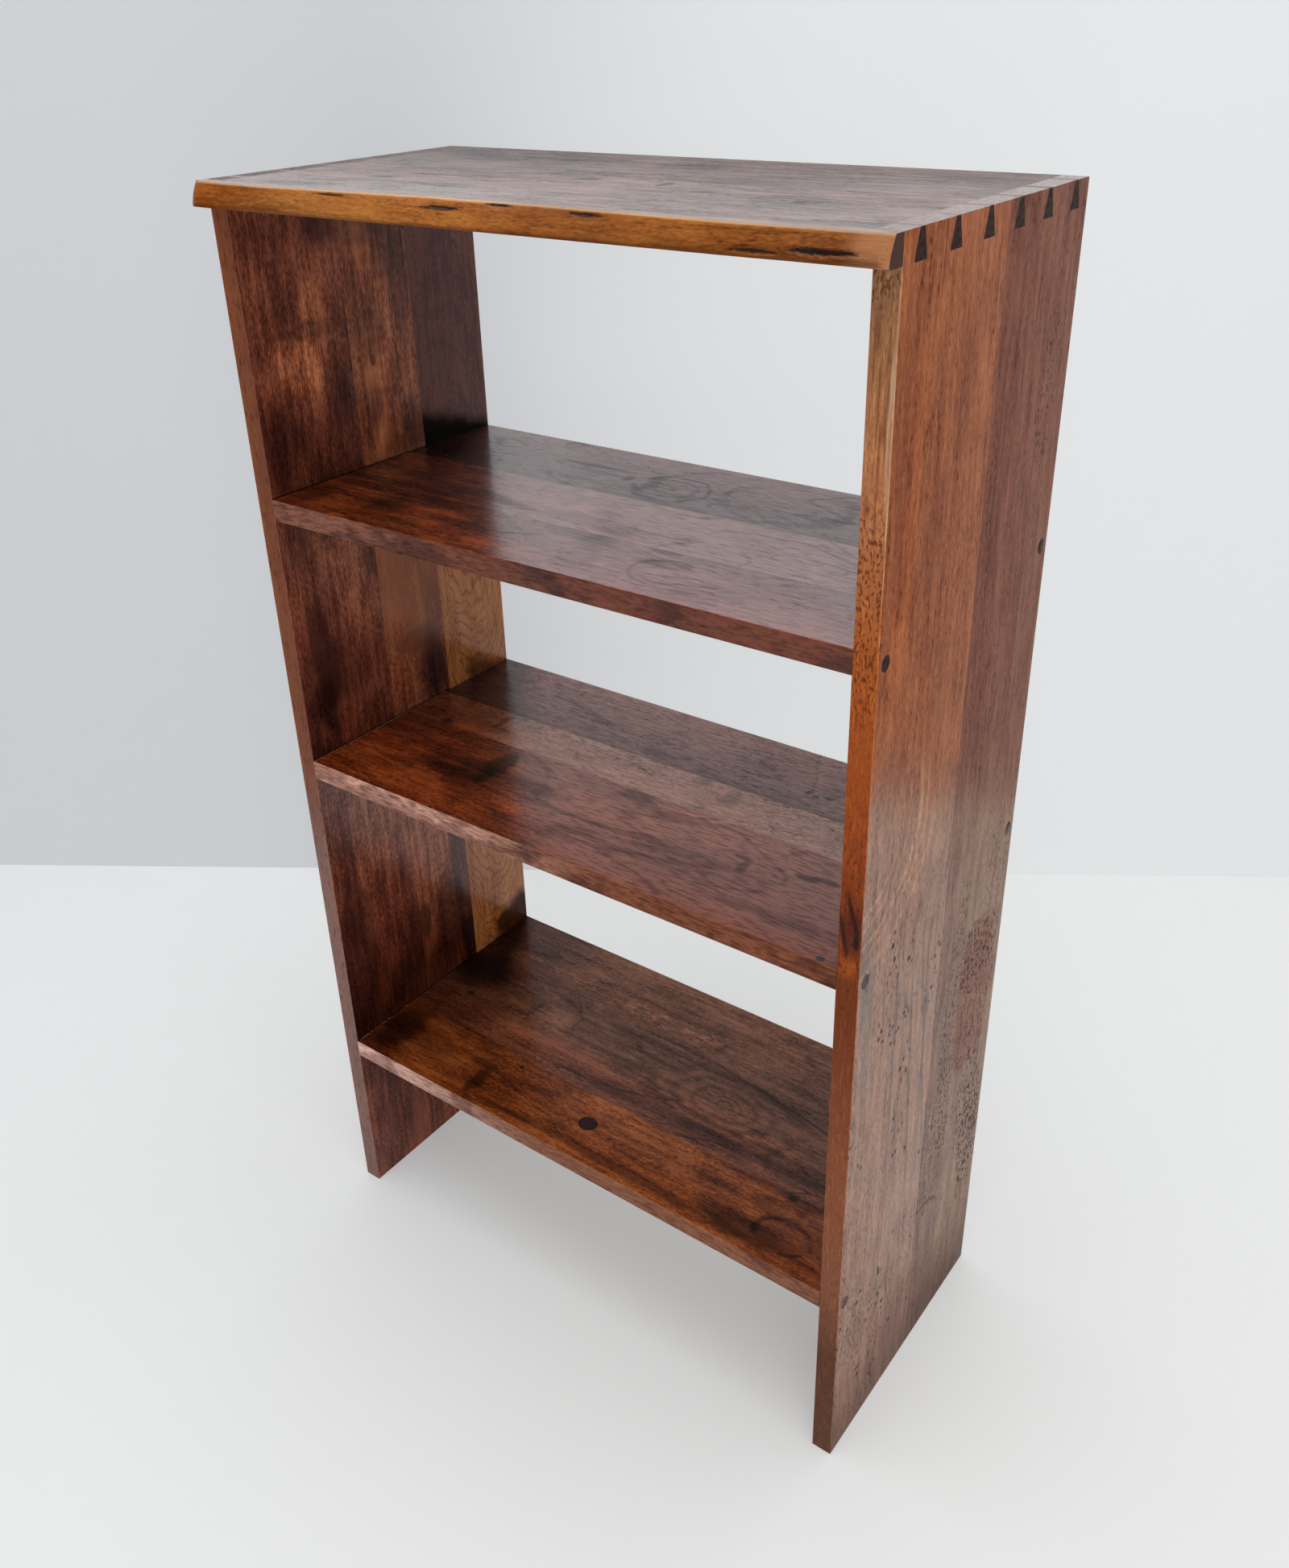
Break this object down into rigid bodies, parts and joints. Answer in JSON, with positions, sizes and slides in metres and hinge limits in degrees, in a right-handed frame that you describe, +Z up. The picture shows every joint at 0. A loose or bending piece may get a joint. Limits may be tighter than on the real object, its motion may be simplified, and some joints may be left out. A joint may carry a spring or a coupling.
{
  "type": "open-backed bookcase",
  "caption": "Open-backed hardwood bookcase with a dovetailed top, a live front edge and fixed shelves pegged through plain sides.",
  "frame": {"origin": "on the floor, under the middle of the bookcase's whole width and depth", "axes": "+X to the right seen from the front, +Y to the back, +Z up; the live edge of the top faces -Y"},
  "size_m": [0.607, 0.3, 1.0668],
  "materials": {
    "top_walnut": "satin oil",
    "left_side_walnut": "satin oil",
    "left_side_pale_walnut": "satin oil",
    "right_side_red_walnut": "satin oil",
    "right_side_plum_walnut": "satin oil",
    "shelf_walnut": "satin oil",
    "shelf_pale_walnut": "satin oil",
    "shelf_dark_walnut": "satin oil",
    "peg_walnut": "satin oil, end grain"
  },
  "bodies": {
    "root": {"top_front_board": "top_walnut", "top_rear_board": "top_walnut", "left_front_board": "left_side_walnut", "left_middle_board": "left_side_walnut", "left_rear_board": "left_side_pale_walnut", "right_front_board": "right_side_red_walnut", "right_middle_board": "right_side_plum_walnut", "right_rear_board": "right_side_plum_walnut", "upper_shelf_front_board": "shelf_walnut", "upper_shelf_middle_board": "shelf_walnut", "upper_shelf_rear_board": "shelf_dark_walnut", "middle_shelf_front_board": "shelf_walnut", "middle_shelf_middle_board": "shelf_pale_walnut", "middle_shelf_rear_board": "shelf_dark_walnut", "lower_shelf_front_board": "shelf_walnut", "lower_shelf_rear_board": "shelf_dark_walnut", "upper_left_front_peg": "peg_walnut", "upper_left_rear_peg": "peg_walnut", "upper_right_front_peg": "peg_walnut", "upper_right_rear_peg": "peg_walnut", "middle_left_front_peg": "peg_walnut", "middle_left_rear_peg": "peg_walnut", "middle_right_front_peg": "peg_walnut", "middle_right_rear_peg": "peg_walnut", "lower_left_front_peg": "peg_walnut", "lower_left_rear_peg": "peg_walnut", "lower_right_front_peg": "peg_walnut", "lower_right_rear_peg": "peg_walnut"}
  },
  "joints": []
}
